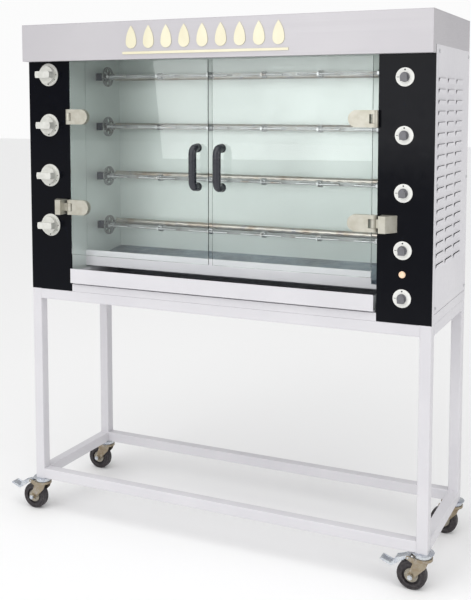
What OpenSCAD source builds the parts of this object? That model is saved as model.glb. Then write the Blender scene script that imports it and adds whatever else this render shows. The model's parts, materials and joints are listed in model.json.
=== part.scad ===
// Four-spit rotisserie oven on a wheeled stand: steel casing with two control columns,
// a glass-doored roasting cavity, a sliding drip tray and a square-tube stand on casters.
// Millimetres, +Z up, front towards -Y. The origin is on the floor, under the middle of the
// whole outline. Inside the modules X starts at the casing's left face and Y at the front
// face of the control columns.

/* [Casing] */
// Width of the casing
body_w = 1400; // [1200:10:1700]
// Depth of the casing behind the control columns
body_d = 450; // [420:10:600]
// Height of the casing
body_h = 900; // [860:10:1100]
// Sheet thickness of the casing
sheet = 1.5; // [1:0.1:2]
// Width of each control column
column_w = 165; // [150:5:200]
// Thickness of the black control panels
fascia_t = 3; // [2:0.5:4]

/* [Header] */
// Height of the header's front face
header_h = 122; // [100:1:150]
// Height of the header's side faces
header_side_h = 97; // [80:1:99]
// How far the header stands in front of the columns
header_out = 35; // [30:1:60]
// Width of the row of flame shapes on the header
sign_w = 572; // [300:10:800]
// Number of flame shapes
flame_count = 9; // [3:1:12]

/* [Cavity] */
// Distance from the front plane to the cavity's back wall
cavity_d = 315; // [305:5:330]
// Space between the cavity's ceiling and the casing's top
ceiling_gap = 50; // [45:5:55]
// Height of the sill's upper edge over the casing's base
sill_top = 131; // [125:1:140]
// Height of the sill's lower edge over the casing's base
sill_bottom = 78; // [74:1:90]
// Distance of the sill behind the front plane
sill_y = 85; // [60:1:95]

/* [Spits] */
// Number of spits
spit_count = 4; // [4:1:4]
// Height of the lowest spit over the casing's base
spit_z0 = 211; // [205:1:230]
// Height from one spit to the next
spit_pitch = 173; // [150:1:178]
// Distance of the spits behind the front plane
spit_y = 175; // [160:1:190]
// Side of the square spit bar
spit_bar = 12; // [10:1:14]
// Radius of the spit's round journals
journal_r = 6.5; // [5:0.5:8]
// Radius of the perforated end discs
disc_r = 34; // [28:1:45]
// Number of meat forks on each spit
fork_count = 6; // [3:1:8]
// Length of the fork prongs
prong_len = 72; // [40:1:80]

/* [Doors] */
// Thickness of the glass
glass_t = 6; // [5:0.5:8]
// Height of the glass's lower edge over the casing's base
glass_bottom = 130; // [110:1:150]
// Gap between the glass and the header
glass_top_gap = 4; // [3:0.5:8]
// Gap between the two doors
door_gap = 14; // [8:1:20]
// Distance of the hinge axis in front of the control columns
hinge_out = 15; // [14:0.5:18]
// Height of a glass clamp
clamp_h = 50; // [44:1:60]
// Length of a glass clamp from the hinge axis
clamp_len = 78; // [60:1:90]
// Radius of the hinge pins
pin_r = 4; // [3:0.5:5]
// Height of the lower hinges over the casing's base
hinge_low_z = 290; // [250:1:330]
// Height of the upper hinges over the casing's base
hinge_high_z = 593; // [540:1:650]
// Distance between the feet of a door handle
handle_span = 122; // [100:1:160]
// Diameter of a handle's bar
handle_d = 25; // [18:1:28]
// How far a handle stands in front of the glass
handle_out = 50; // [46:1:60]

/* [Controls] */
// Diameter of the gas tap bezels
tap_bezel_d = 76; // [66:1:84]
// Diameter of a gas tap knob
knob_d = 58; // [50:1:64]
// How far a gas tap knob stands out
knob_out = 40; // [28:1:44]
// Depth of the round part of a gas tap knob
knob_base = 18; // [12:1:22]
// Thickness of the grip bar across a gas tap knob
grip_t = 22; // [14:1:26]
// Height of the lowest gas tap over the casing's base
tap_z0 = 224; // [200:1:240]
// Height from one gas tap to the next
tap_pitch = 170; // [150:1:175]
// Diameter of the switch bezels
switch_bezel_d = 54; // [44:1:60]
// Height of the lowest spit switch over the casing's base
switch_z0 = 214; // [200:1:230]
// Height from one spit switch to the next
switch_pitch = 166; // [150:1:175]
// Height of the lighting switch over the casing's base
light_switch_z = 74; // [60:1:80]
// Height of the indicator lamp over the casing's base
lamp_z = 144; // [135:1:150]

/* [Drip tray] */
// Height of the drip tray's front
tray_front_h = 49; // [40:1:50]
// How far the tray's front stands in front of the columns
tray_out = 15; // [6:1:20]
// Height of the casing's bottom rail under the tray
rail_h = 24; // [20:1:27]

/* [Stand] */
// Height of the stand's legs
stand_h = 680; // [500:10:900]
// Side of the square tube
tube = 35; // [30:1:50]
// Wall of the square tube
tube_wall = 1.5; // [1.2:0.1:3]

/* [Casters] */
// Height of a caster
caster_h = 118; // [112:1:130]
// Diameter of the wheels
wheel_d = 90; // [76:1:94]
// Width of the tyres
tyre_w = 28; // [22:1:32]
// Radius of the axles
axle_r = 5; // [4:0.5:6]
// Distance of the axle behind the swivel
trail = 32; // [30:1:42]
// Reach of a brake pedal from the swivel
pedal_reach = 128; // [120:1:135]
// Length of a brake pedal's housing from its hinge to its bend
pedal_len = 62; // [50:1:66]

/* [Louvres] */
// Rows of louvres on each side panel
louvre_rows = 18; // [6:1:18]
// Columns of louvres on each side panel
louvre_cols = 3; // [2:1:3]
// Height from one row to the next
louvre_pitch = 31.6; // [24:0.1:32]
// How far a louvre stands out
louvre_rise = 4.5; // [3:0.1:6]
// Length of one louvre
louvre_len = 90; // [60:1:100]
// Space between two columns of louvres
louvre_space = 25; // [15:1:30]

/* [Hidden] */
$fn = 48;

// Clearances: a turning fit, a loose gap between parts, and the overlap of a cut past a face
run_fit = 0.05;
gap = 0.3;
cut = 1;

// Colours
steel = [0.80, 0.80, 0.81];
white_steel = [0.88, 0.88, 0.90];
dark_steel = [0.36, 0.38, 0.40];
gloss_black = [0.01, 0.02, 0.05];
zinc = [0.70, 0.68, 0.62];
cream = [0.93, 0.90, 0.74];
brass = [0.72, 0.58, 0.30];

// The outline's middle, which is the origin: the left brake pedal reaches furthest left,
// a caster or a louvre furthest right, the handles furthest forward and the gas inlet
// furthest back
gas_stub_len = 22;
head_r = 34;
mid_x = (body_w + max(louvre_rise, head_r - tube / 2) - (pedal_reach - tube / 2)) / 2;
mid_y = (body_d + gas_stub_len - (hinge_out + glass_t / 2 + handle_out)) / 2;
body_z = caster_h + stand_h;

// The cavity's side walls, the header's lower edge and the seam over the side panels
inner_l = column_w;
inner_r = body_w - column_w;
header_bottom = body_h - header_h;
ceiling_z = body_h - ceiling_gap;
seam_z = body_h - header_side_h;

// Heights of the spits and of the gas taps, and the places of the controls on the columns
function spit_z(i) = spit_z0 + i * spit_pitch;
function tap_z(i) = tap_z0 + i * tap_pitch;
tap_x = 82;
switch_x = body_w - 88;
switch_zs = concat([for (i = [0:spit_count - 1]) switch_z0 + i * switch_pitch], [light_switch_z]);

// Inlets in the rear panel: X and height of the gas pipe and of the cable gland
gas_inlet = [50, 60];
gland_at = [body_w - 70, 60];

module in_row(z = 0) translate([-mid_x, -mid_y, z]) children();
module in_body() in_row(body_z) children();
module mirrored_x() translate([body_w, 0, 0]) mirror([1, 0, 0]) children();
module box(lo, hi) translate(lo) cube(hi - lo);
module along_x(r, x0, x1) translate([x0, 0, 0]) rotate([0, 90, 0]) cylinder(r = r, h = x1 - x0);
module along_y(r, y0, y1) translate([0, y0, 0]) rotate([-90, 0, 0]) cylinder(r = r, h = y1 - y0);

// ---------- Stand ----------
leg_xs = [0, body_w - tube];
leg_ys = [0, body_d - tube];

module hollow_bar(size, axis) {
    bore = [for (i = [0:2]) i == axis ? size[i] + 2 * cut : size[i] - 2 * tube_wall];
    difference() {
        cube(size);
        translate([for (i = [0:2]) i == axis ? -cut : tube_wall]) cube(bore);
    }
}

// Welded frame: four legs with a ring of rails at the top and another at the bottom
module stand_frame() color(white_steel) in_row(caster_h) {
    for (x = leg_xs, y = leg_ys) translate([x, y, 0]) hollow_bar([tube, tube, stand_h], 2);
    for (z = [0, stand_h - tube]) {
        for (y = leg_ys) translate([tube, y, z]) hollow_bar([body_w - 2 * tube, tube, tube], 0);
        for (x = leg_xs) translate([x, tube, z]) hollow_bar([tube, body_d - 2 * tube, tube], 1);
    }
}

// ---------- Casters ----------
head_plate_t = 3;
crown_t = 8;
race_r = 26;
wheel_r = wheel_d / 2;
cheek_t = 3;
cheek_y = tyre_w / 2 + 3;
crown_bottom = caster_h - head_plate_t - 12 - crown_t;
pedal_pin_r = 3;
pedal_knuckle_r = 6;
tyre_gap = 4;

// The brake pedal is hinged over the tyre. Its underside runs down from the pivot, tangent to
// a circle a little larger than the tyre, as far as the bend where the lip turns up again
axle = [-trail, wheel_r];
pivot_off = wheel_r + pedal_knuckle_r + tyre_gap;
pedal_pivot = axle + pivot_off * [cos(100), sin(100)];
pedal_slope = -80 - asin((wheel_r + 5) / pivot_off);
pedal_bend = pedal_pivot + pedal_len * [cos(pedal_slope), sin(pedal_slope)];

module at_caster(i) in_row() translate([leg_xs[i % 2] + tube / 2, leg_ys[floor(i / 2)] + tube / 2, 0])
    children();

// The fixed half of each swivel: a round plate under the leg, a ball race and a king pin
module caster_heads() color(zinc) for (i = [0:3]) at_caster(i) {
    translate([0, 0, caster_h - head_plate_t]) cylinder(r = head_r, h = head_plate_t);
    translate([0, 0, crown_bottom + crown_t + gap]) cylinder(r = race_r, h = 12 - gap);
    translate([0, 0, crown_bottom - 2]) cylinder(r = axle_r, h = crown_t + 6);
}

module fork_cheek() rotate([90, 0, 0]) linear_extrude(cheek_t) difference() {
    union() {
        polygon([[-22, crown_bottom + 1], [20, crown_bottom + 1], [13, crown_bottom - 18],
                 [11 - trail, wheel_r - 3], [-11 - trail, wheel_r - 3]]);
        translate([-trail, wheel_r]) circle(r = 11);
        translate(pedal_pivot) circle(r = pedal_knuckle_r);
        polygon([[-22, crown_bottom + 1], [-22, crown_bottom - 12],
                 pedal_pivot - [0, pedal_knuckle_r], pedal_pivot + [0, pedal_knuckle_r],
                 [-22, crown_bottom + 6]]);
    }
    translate(pedal_pivot) circle(r = pedal_pin_r + run_fit);
}

module caster_fork(i) color(zinc) at_caster(i) {
    difference() {
        translate([0, 0, crown_bottom]) cylinder(r = 29, h = crown_t);
        translate([0, 0, crown_bottom - cut]) cylinder(r = axle_r + run_fit, h = crown_t + 2 * cut);
    }
    for (y = [-cheek_y, cheek_y + cheek_t]) translate([0, y, 0]) fork_cheek();
    translate([-trail, 0, wheel_r]) {
        along_y(axle_r, -cheek_y - cheek_t, cheek_y + cheek_t);
        for (y = [-cheek_y - cheek_t - 5, cheek_y + cheek_t]) along_y(9, y, y + 5);
    }
}

module caster_wheel(i) color([0.28, 0.27, 0.29]) at_caster(i) translate([-trail, 0, wheel_r])
    rotate([90, 0, 0]) rotate_extrude($fn = 96) {
        round_r = 6;
        hub_r = wheel_r * 0.68;
        translate([hub_r, -tyre_w / 2 + round_r]) square([wheel_r - hub_r, tyre_w - 2 * round_r]);
        translate([hub_r, -tyre_w / 2]) square([wheel_r - hub_r - round_r, tyre_w]);
        for (y = [-1, 1]) translate([wheel_r - round_r, y * (tyre_w / 2 - round_r)])
            circle(r = round_r);
        translate([10, -6]) square([hub_r - 9, 12]);
        translate([axle_r + run_fit, -cheek_y + gap]) square([10, 2 * (cheek_y - gap)]);
    }

module brake_pedal(i) color(zinc) at_caster(i) {
    w = 2 * (cheek_y - 0.5);
    translate([pedal_pivot[0], 0, pedal_pivot[1]]) {
        along_y(pedal_knuckle_r, -w / 2, w / 2);
        along_y(pedal_pin_r, -cheek_y - cheek_t, cheek_y + cheek_t);
    }
    tip = [-pedal_reach, pedal_bend[1] + 15];
    translate([0, w / 2, 0]) rotate([90, 0, 0]) linear_extrude(w) polygon([
        pedal_pivot, pedal_pivot + [0, pedal_knuckle_r], pedal_bend + [12, 27],
        pedal_bend + [1, 8], tip + [4, 4], tip, pedal_bend]);
}

// ---------- Casing ----------
bolt_r = 4.5;
runner_gap = 7;

module base_pan() color(white_steel) in_body() difference() {
    union() {
        box([sheet, fascia_t, 0], [body_w - sheet, body_d, sheet]);
        box([inner_l, 0, 0], [inner_r, sheet, rail_h]);
        box([inner_l, 0, 0], [inner_r, fascia_t + cut, sheet]);
        box([inner_l, 0, rail_h - sheet], [inner_r, 12, rail_h]);
        for (x = [inner_l + runner_gap, inner_r - runner_gap - 16])
            translate([x, 12 - cut, sheet]) cube([16, cavity_d - 20, rail_h + 5 - sheet]);
    }
    for (x = [tube / 2, body_w - tube / 2], y = [tube * 1.5, body_d - tube * 1.5])
        translate([x, y, -cut]) cylinder(r = bolt_r, h = sheet + 2 * cut);
}

// Printed control panels over the two columns
stem_hole_r = 6;
switch_neck_r = 11;
lamp_r = 10;
lamp_neck_r = lamp_r - 3;

module left_fascia() color(gloss_black) in_body() difference() {
    box([0, 0, 0], [column_w, fascia_t, seam_z]);
    for (i = [0:spit_count - 1]) translate([tap_x, 0, tap_z(i)])
        along_y(stem_hole_r, -cut, fascia_t + cut);
}

module right_fascia() color(gloss_black) in_body() difference() {
    box([inner_r, 0, 0], [body_w, fascia_t, seam_z]);
    for (z = switch_zs) translate([switch_x, 0, z]) along_y(switch_neck_r, -cut, fascia_t + cut);
    translate([switch_x, 0, lamp_z]) along_y(lamp_neck_r, -cut, fascia_t + cut);
}

// A louvre pressed out of the sheet: fixed along its lower edge, open at the top
louvre_y0 = 36;
louvre_z0 = seam_z - 108 - (louvre_rows - 1) * louvre_pitch;

module each_louvre() for (c = [0:louvre_cols - 1], r = [0:louvre_rows - 1])
    translate([0, louvre_y0 + c * (louvre_len + louvre_space), louvre_z0 + r * louvre_pitch]) children();

module louvre_hood() translate([0, louvre_len, 0]) rotate([90, 0, 0]) linear_extrude(louvre_len)
    polygon([[0, 0], [-louvre_rise, 14], [-louvre_rise + sheet, 14], [0, 2.4], [sheet, 2.4], [sheet, 0]]);

// Side sheet: a plain front strip and foot with a louvred service panel set into them
strip_w = 28;
module side_sheet() {
    box([0, fascia_t, 0], [sheet, strip_w, seam_z]);
    box([0, strip_w - cut, 0], [sheet, body_d, strip_w]);
    difference() {
        box([0, strip_w + 1.5, strip_w + 1.5], [sheet, body_d, seam_z]);
        each_louvre() translate([-cut, 0, 1]) cube([sheet + 2 * cut, louvre_len, 14]);
    }
    each_louvre() louvre_hood();
}

module left_side_panel() color(white_steel) in_body() side_sheet();
module right_side_panel() color(white_steel) in_body() mirrored_x() side_sheet();

gas_hole_r = 13;
gland_neck_r = 10;

module rear_panel() color(white_steel) in_body() difference() {
    box([sheet, body_d - sheet, sheet], [body_w - sheet, body_d, body_h - sheet]);
    translate([gas_inlet[0], 0, gas_inlet[1]]) along_y(gas_hole_r, body_d - 5, body_d + cut);
    translate([gland_at[0], 0, gland_at[1]]) along_y(gland_neck_r + gap, body_d - 5, body_d + cut);
    for (x = [230, body_w - 230], r = [0:9])
        translate([x - 90, body_d - 5, 560 + r * 18]) cube([180, 10, 6]);
}

flue_n = 14;
module top_panel() color(steel) in_body() difference() {
    box([0, -header_out, body_h - sheet], [body_w, body_d, body_h]);
    for (i = [0:flue_n - 1])
        translate([body_w / 2 + (i - flue_n / 2) * 26, cavity_d + 25, body_h - 5]) cube([10, 75, 10]);
}

// Folded header: a front face, a lip under it, and side faces down to the side panels
module header_canopy() color(steel) in_body() {
    top = body_h - sheet;
    box([0, -header_out, header_bottom], [body_w, sheet - header_out, top]);
    box([0, -header_out, header_bottom], [body_w, 0, header_bottom + sheet]);
    for (x = [0, body_w - sheet]) {
        box([x, -header_out, header_bottom], [x + sheet, 0, top]);
        box([x, -cut, seam_z], [x + sheet, body_d - sheet, top]);
    }
}

// A row of plain flame shapes over a long bar, in place of any lettering
sign_x0 = 397;
sign_z0 = header_bottom + 16;
sign_t = 3;
flame_pitch = sign_w / flame_count;

module flame_outline(w, h) {
    translate([0, w / 2]) circle(d = w);
    // the tip lies between two large arcs that leave the round foot at its sides
    side_r = (h - w / 2) * (h - w / 2) / w + w / 4;
    intersection() {
        translate([-w / 2, w / 2]) square([w, h]);
        translate([side_r - w / 2, w / 2]) circle(r = side_r, $fn = 96);
        translate([w / 2 - side_r, w / 2]) circle(r = side_r, $fn = 96);
    }
}

module sign_flames() color(cream) in_body() translate([sign_x0, -header_out, sign_z0])
    rotate([90, 0, 0]) linear_extrude(sign_t) {
        square([sign_w, 8]);
        for (i = [0:flame_count - 1]) translate([(i + 0.5) * flame_pitch, 18])
            flame_outline(flame_pitch * 0.6, 72);
    }

// ---------- Cavity ----------
jamb_gap = 2;
feed_r = 4;
burner_y = cavity_d - 27;
burner_r = 11;
feed_hole_r = 6;
socket_hole_r = 13;

// The left wall is in two sheets, with a joint just behind the sill
module cavity_side_walls() color([0.78, 0.80, 0.79]) in_body() {
    difference() {
        x0 = inner_l - sheet;
        union() {
            box([x0, fascia_t, rail_h], [inner_l, sill_y + 9, ceiling_z - sheet]);
            box([x0, sill_y + 9 + jamb_gap, rail_h], [inner_l, cavity_d, ceiling_z - sheet]);
        }
        for (i = [0:spit_count - 1]) translate([0, burner_y, spit_z(i)])
            along_x(feed_hole_r, x0 - cut, inner_l + cut);
    }
    difference() {
        box([inner_r, fascia_t, rail_h], [inner_r + sheet, cavity_d, ceiling_z - sheet]);
        for (i = [0:spit_count - 1]) translate([0, spit_y, spit_z(i)])
            along_x(socket_hole_r, inner_r - cut, inner_r + sheet + cut);
    }
}

module back_wall() color([0.76, 0.81, 0.79]) in_body()
    box([inner_l - sheet, cavity_d, rail_h], [inner_r + sheet, cavity_d + sheet, ceiling_z - sheet]);

module ceiling_panel() color([0.76, 0.81, 0.79]) in_body() {
    box([inner_l - sheet, 0, ceiling_z - sheet], [inner_r + sheet, cavity_d + sheet, ceiling_z]);
    box([inner_l, 0, header_bottom + sheet], [inner_r, sheet, ceiling_z - sheet + 0.5]);
}

// Sloping floor behind the sill: drips run forward along it into the tray
floor_front = [sill_y + 45, 96];
floor_back = [cavity_d, 118];
module cavity_floor() color(dark_steel) in_body()
    translate([inner_r, 0, 0]) rotate([90, 0, -90]) linear_extrude(inner_r - inner_l) mirror([1, 0])
        polygon([floor_front, floor_back, floor_back - [0, sheet], floor_front - [0, sheet],
                 floor_front - [0, 14], floor_front - [sheet, 14], floor_front - [sheet, 0]]);

sill_end_gap = 42;
module sill() color(white_steel) in_body() {
    box([inner_l, sill_y, sill_bottom], [inner_r - sill_end_gap, sill_y + sheet, sill_top]);
    box([inner_l, sill_y, sill_top - sheet], [inner_r - sill_end_gap, sill_y + 8, sill_top]);
    box([inner_r - sill_end_gap - 8, sill_y, sill_bottom], [inner_r, sill_y + sheet, sill_bottom + 14]);
}

// ---------- Gas ----------
stem_r = 4;
tap_y = [5, 42];
tap_half = 13;
manifold_y = 24;
gas_pipe_r = 9;
gas_thread_r = 10.48;
gas_thread_len = gas_stub_len + 2;

module burner_tubes() color([0.62, 0.60, 0.56]) in_body() for (i = [0:spit_count - 1])
    translate([0, burner_y, spit_z(i)]) difference() {
        along_x(burner_r, inner_l + 2, inner_r - 2);
        along_x(burner_r - 1.5, inner_l + 4, inner_r - 4);
        along_x(feed_r + gap, inner_l, inner_l + 6);
        for (s = [0:24]) translate([inner_l + 60 + s * (inner_r - inner_l - 120) / 24, -burner_r - 2, -1])
            cube([16, burner_r, 2]);
    }

// Straight pipes along X, Y or Z from point to point, with an elbow fitting at each bend
module pipe_run(points, r) for (i = [0:len(points) - 2]) {
    a = points[i];
    d = points[i + 1] - a;
    translate(a) {
        rotate([0, d[2] < 0 ? 180 : (d[0] > 0 ? 90 : (d[0] < 0 ? -90 : 0)), 0])
            rotate([d[1] > 0 ? -90 : (d[1] < 0 ? 90 : 0), 0, 0]) cylinder(r = r, h = norm(d));
        if (i > 0) sphere(r = r * 1.25);
    }
}

// Four gas taps on a manifold, each with its own pipe to a burner, and the inlet at the rear
module gas_train() color(brass) in_body() {
    for (i = [0:spit_count - 1]) {
        z = tap_z(i);
        difference() {
            box([tap_x - tap_half, tap_y[0], z - tap_half], [tap_x + tap_half, tap_y[1], z + tap_half]);
            translate([tap_x, 0, z]) along_y(stem_r + run_fit, tap_y[0] - cut, tap_y[0] + 16);
        }
        drop_y = tap_y[1] + 12;
        pipe_run([[tap_x, tap_y[1] + 0.2, z], [tap_x, drop_y, z], [tap_x, drop_y, spit_z(i)],
                  [tap_x, burner_y, spit_z(i)], [inner_l + 5, burner_y, spit_z(i)]], feed_r);
        translate([0, manifold_y, z]) along_x(5, gas_inlet[0], tap_x - tap_half - 0.2);
    }
    top_z = tap_z(spit_count - 1) + 20;
    thread_y = body_d + gas_stub_len - gas_thread_len;
    pipe_run([[gas_inlet[0], manifold_y, top_z], [gas_inlet[0], manifold_y, gas_inlet[1]],
              [gas_inlet[0], thread_y + 1, gas_inlet[1]]], gas_pipe_r);
    translate([gas_inlet[0], thread_y, gas_inlet[1]]) along_y(gas_thread_r, 0, gas_thread_len);
}

module tap_bezels() color([0.86, 0.86, 0.84]) in_body() for (i = [0:spit_count - 1])
    translate([tap_x, 0, tap_z(i)]) difference() {
        union() {
            along_y(tap_bezel_d / 2, -3, 0);
            along_y(tap_bezel_d / 2 - 3, -5, -2);
        }
        along_y(stem_hole_r, -6, cut);
    }

// Knob with a raised grip bar that lies level when the gas is off, on its own stem
module tap_knob(i) color([0.88, 0.88, 0.85]) in_body() translate([tap_x, 0, tap_z(i)]) {
    along_y(knob_d / 2, -knob_base, -5 - gap);
    intersection() {
        along_y(knob_d / 2, -knob_out, cut - knob_base);
        box([-knob_d / 2, -knob_out, -grip_t / 2], [knob_d / 2, cut - knob_base, grip_t / 2]);
    }
    along_y(stem_r, -knob_base, tap_y[0] + 14);
}

// ---------- Electrics ----------
switch_stem_r = 3;
switch_grip_r = 9.5;

module switch_housings() color([0.90, 0.90, 0.88]) in_body() for (z = switch_zs)
    translate([switch_x, 0, z]) difference() {
        union() {
            along_y(switch_bezel_d / 2, -3, 0);
            along_y(switch_neck_r - gap, -3, fascia_t + 2);
            box([-15, fascia_t + 1, -15], [15, fascia_t + 34, 15]);
        }
        along_y(switch_stem_r + run_fit, -4, fascia_t + 16);
    }

// Small knob whose grip is flat below and arched on top
module switch_knob(i) color([0.30, 0.30, 0.32]) in_body() translate([switch_x, 0, switch_zs[i]]) {
    along_y(14, -8, -3 - gap);
    translate([0, 0, 2]) along_y(switch_grip_r, -20, -7);
    box([-switch_grip_r, -20, -12], [switch_grip_r, -7, 2]);
    along_y(switch_stem_r, -8, fascia_t + 14);
}

module indicator_lamp() color([0.95, 0.78, 0.62]) in_body() translate([switch_x, 0, lamp_z]) {
    along_y(lamp_r, -4, 0);
    along_y(lamp_r - 2, -7, -3);
    along_y(lamp_neck_r - gap, -3, fascia_t + 20);
}

gland_bore_r = 6.5;
module cable_gland() color([0.2, 0.2, 0.22]) in_body() translate([gland_at[0], 0, gland_at[1]])
    difference() {
        union() {
            along_y(gland_neck_r, body_d - 14, body_d + 2);
            along_y(15, body_d, body_d + 8);
            along_y(12, body_d + 7, body_d + 20);
            along_y(14, body_d - 14, body_d - sheet - gap);
        }
        along_y(gland_bore_r, body_d - 16, body_d + 21);
    }

// Motors behind the right wall; each spit plugs into a gearbox's hollow output
motor_r = 30;
tang_r = 6;
module gearmotors() color([0.55, 0.57, 0.60]) in_body() for (i = [0:spit_count - 1])
    translate([inner_r, spit_y, spit_z(i)]) difference() {
        union() {
            box([sheet, -34, -34], [42, 34, 34]);
            along_x(motor_r, 41, 112);
            along_x(8, 111, 124);
            along_x(socket_hole_r - 1, -6, sheet + 1);
        }
        along_x(tang_r + run_fit, -7, 36);
    }

// ---------- Spits ----------
bearing_len = 24;
bearing_side = 26;
bar_x0 = inner_l + bearing_len + 3;
bar_x1 = inner_r - 22;
disc_x = bar_x0 + 12;
fork_x0 = bar_x0 + 30;
fork_x1 = bar_x1 - 25;
fork_hub_r = 11;
fork_hub_len = 14;
prong_off = 26;

module spit_bearings() color(dark_steel) in_body() for (i = [0:spit_count - 1])
    translate([inner_l, spit_y, spit_z(i)]) difference() {
        box([0, -bearing_side / 2, -bearing_side / 2], [bearing_len, bearing_side / 2, bearing_side / 2]);
        along_x(journal_r + run_fit, 3, bearing_len + cut);
    }

// Square bar with a journal on the left, a perforated lifting disc and a drive end on the right
module spit(i) color([0.60, 0.61, 0.62]) in_body() translate([0, spit_y, spit_z(i)]) {
    along_x(journal_r, inner_l + 3 + gap, bar_x0 + 1);
    box([bar_x0, -spit_bar / 2, -spit_bar / 2], [bar_x1, spit_bar / 2, spit_bar / 2]);
    difference() {
        along_x(disc_r, disc_x, disc_x + 4);
        for (a = [0:60:300]) rotate([a, 0, 0]) translate([0, 0, disc_r * 0.62])
            along_x(disc_r * 0.2, disc_x - cut, disc_x + 5);
    }
    along_x(10, disc_x - 8, disc_x + 10);
    along_x(12, bar_x1 - 4, inner_r - 8);
    along_x(tang_r, inner_r - 10, inner_r + 34);
}

// Forks slide along the bar: a hub, a cross bar and two prongs on each working side
module meat_fork(left, right) {
    difference() {
        union() {
            along_x(fork_hub_r, -fork_hub_len / 2, fork_hub_len / 2);
            box([-3, -prong_off - 3, -5], [3, prong_off + 3, 5]);
        }
        cube([fork_hub_len + 2 * cut, spit_bar + 0.4, spit_bar + 0.4], center = true);
    }
    for (s = [-1, 1]) translate([0, s * prong_off, 0]) {
        if (right) along_x(2.5, 0, prong_len);
        if (left) along_x(2.5, -prong_len, 0);
    }
}

module spit_forks(i) color([0.72, 0.73, 0.74]) in_body() translate([0, spit_y, spit_z(i)])
    for (k = [0:fork_count - 1])
        translate([fork_x0 + k * (fork_x1 - fork_x0) / (fork_count - 1), 0, 0])
            meat_fork(k > 0, k < fork_count - 1);

// ---------- Doors ----------
hinge_in = 6;
hinge_x = inner_l + hinge_in;
knuckle_r = 10;
knuckle_h = 26;
clamp_t = 20;
door_w = (body_w - door_gap) / 2 - hinge_x;
glass_top = header_bottom - glass_top_gap;
glass_in = pin_r + 2;
hinge_zs = [hinge_low_z, hinge_high_z];
handle_z = 438;
handle_from_edge = 35;

module at_hinge(z = 0) in_body() translate([hinge_x, -hinge_out, z]) children();
module right_side(flip) if (flip) in_row() mirrored_x() translate([mid_x, mid_y, 0]) children();
else children();

module door_glass() color([0.75, 0.85, 0.83, 0.4]) at_hinge() difference() {
    box([glass_in, -glass_t / 2, glass_bottom], [door_w, glass_t / 2, glass_top]);
    for (z = hinge_zs) translate([0, -glass_t, z - knuckle_h / 2 - 1])
        cube([knuckle_r + 5, 2 * glass_t, knuckle_h + 2]);
}

// A clamp grips both faces of the glass and turns on the bracket's pin
module glass_clamp() difference() {
    union() {
        box([0, -clamp_t / 2, -clamp_h / 2], [clamp_len - 18, clamp_t / 2, clamp_h / 2]);
        translate([clamp_len - 25, 0, 0]) intersection() {
            along_y(clamp_h / 2, -clamp_t / 2, clamp_t / 2);
            box([0, -clamp_t / 2, -clamp_h / 2], [clamp_h / 2, clamp_t / 2, clamp_h / 2]);
        }
        translate([0, 0, -clamp_h / 2]) cylinder(r = clamp_t / 2, h = clamp_h);
    }
    box([-clamp_t, -clamp_t, -knuckle_h / 2 - gap], [knuckle_r + 4, clamp_t, knuckle_h / 2 + gap]);
    box([glass_in, -glass_t / 2, -clamp_h], [clamp_len + cut, glass_t / 2, clamp_h]);
    translate([0, 0, -clamp_h]) cylinder(r = pin_r + run_fit, h = 2 * clamp_h);
}

// Round bar bent to a bracket, with a washer at each foot
module door_handle() color([0.14, 0.14, 0.16]) at_hinge() {
    bend_r = handle_d * 0.75;
    reach = handle_out - handle_d / 2;
    translate([door_w - handle_from_edge, -glass_t / 2, handle_z]) {
        translate([0, -reach, bend_r - handle_span / 2])
            cylinder(d = handle_d, h = handle_span - 2 * bend_r);
        for (s = [0, 1]) mirror([0, 0, s]) translate([0, 0, handle_span / 2]) {
            along_y(handle_d / 2, bend_r - reach, 0);
            along_y(handle_d / 2 + 1.5, -6, 0);
            translate([0, bend_r - reach, -bend_r]) rotate([0, 0, 90]) rotate([90, 0, 0])
                rotate_extrude(angle = 90, start = 90) translate([bend_r, 0]) circle(d = handle_d);
        }
    }
}

module door_clamps() color([0.74, 0.72, 0.66]) at_hinge()
    for (z = hinge_zs) translate([0, 0, z]) glass_clamp();

module left_door_glass() door_glass();
module right_door_glass() right_side(true) door_glass();
module left_door_clamps() door_clamps();
module right_door_clamps() right_side(true) door_clamps();
module left_door_handle() door_handle();
module right_door_handle() right_side(true) door_handle();

// Fixed half of a hinge: the knuckle with its pin, on an arm to a block on the column below
// and to the cavity's side wall above
block_x = [-66, -21];
module hinge_knuckle() {
    translate([0, 0, -knuckle_h / 2]) cylinder(r = knuckle_r, h = knuckle_h);
    translate([0, 0, -clamp_h / 2 + 1]) cylinder(r = pin_r, h = clamp_h - 2);
}

module low_bracket() {
    hinge_knuckle();
    box([block_x[1] - cut, -5, -knuckle_h / 2], [0, 5, knuckle_h / 2]);
    translate([0, 0, -clamp_h / 2]) linear_extrude(clamp_h) polygon([
        [block_x[0], hinge_out], [block_x[0] + 24, hinge_out - 43], [block_x[1], hinge_out - 43],
        [block_x[1], hinge_out]]);
}

module high_bracket() {
    hinge_knuckle();
    box([-hinge_in, 0, -knuckle_h / 2], [5, hinge_out + 32, knuckle_h / 2]);
}

module hinge_brackets() color([0.74, 0.72, 0.66]) for (flip = [false, true]) right_side(flip) {
    at_hinge(hinge_low_z) low_bracket();
    at_hinge(hinge_high_z) high_bracket();
}

// ---------- Drip tray ----------
tray_t = 1.2;
tray_z = rail_h + 6;
tray_h = 42;
tray_side = 10;
module drip_tray() color(white_steel) in_body() {
    x0 = inner_l + tray_side;
    x1 = inner_r - tray_side;
    y1 = cavity_d - 15;
    difference() {
        box([x0, sheet - tray_out, tray_z], [x1, y1, tray_z + tray_h]);
        box([x0 + tray_t, 0, tray_z + tray_t], [x1 - tray_t, y1 - tray_t, tray_z + tray_h + cut]);
    }
    box([inner_l + 3, -tray_out, tray_z + 1], [inner_r - 5, sheet - tray_out, tray_z + 1 + tray_front_h]);
}

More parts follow.
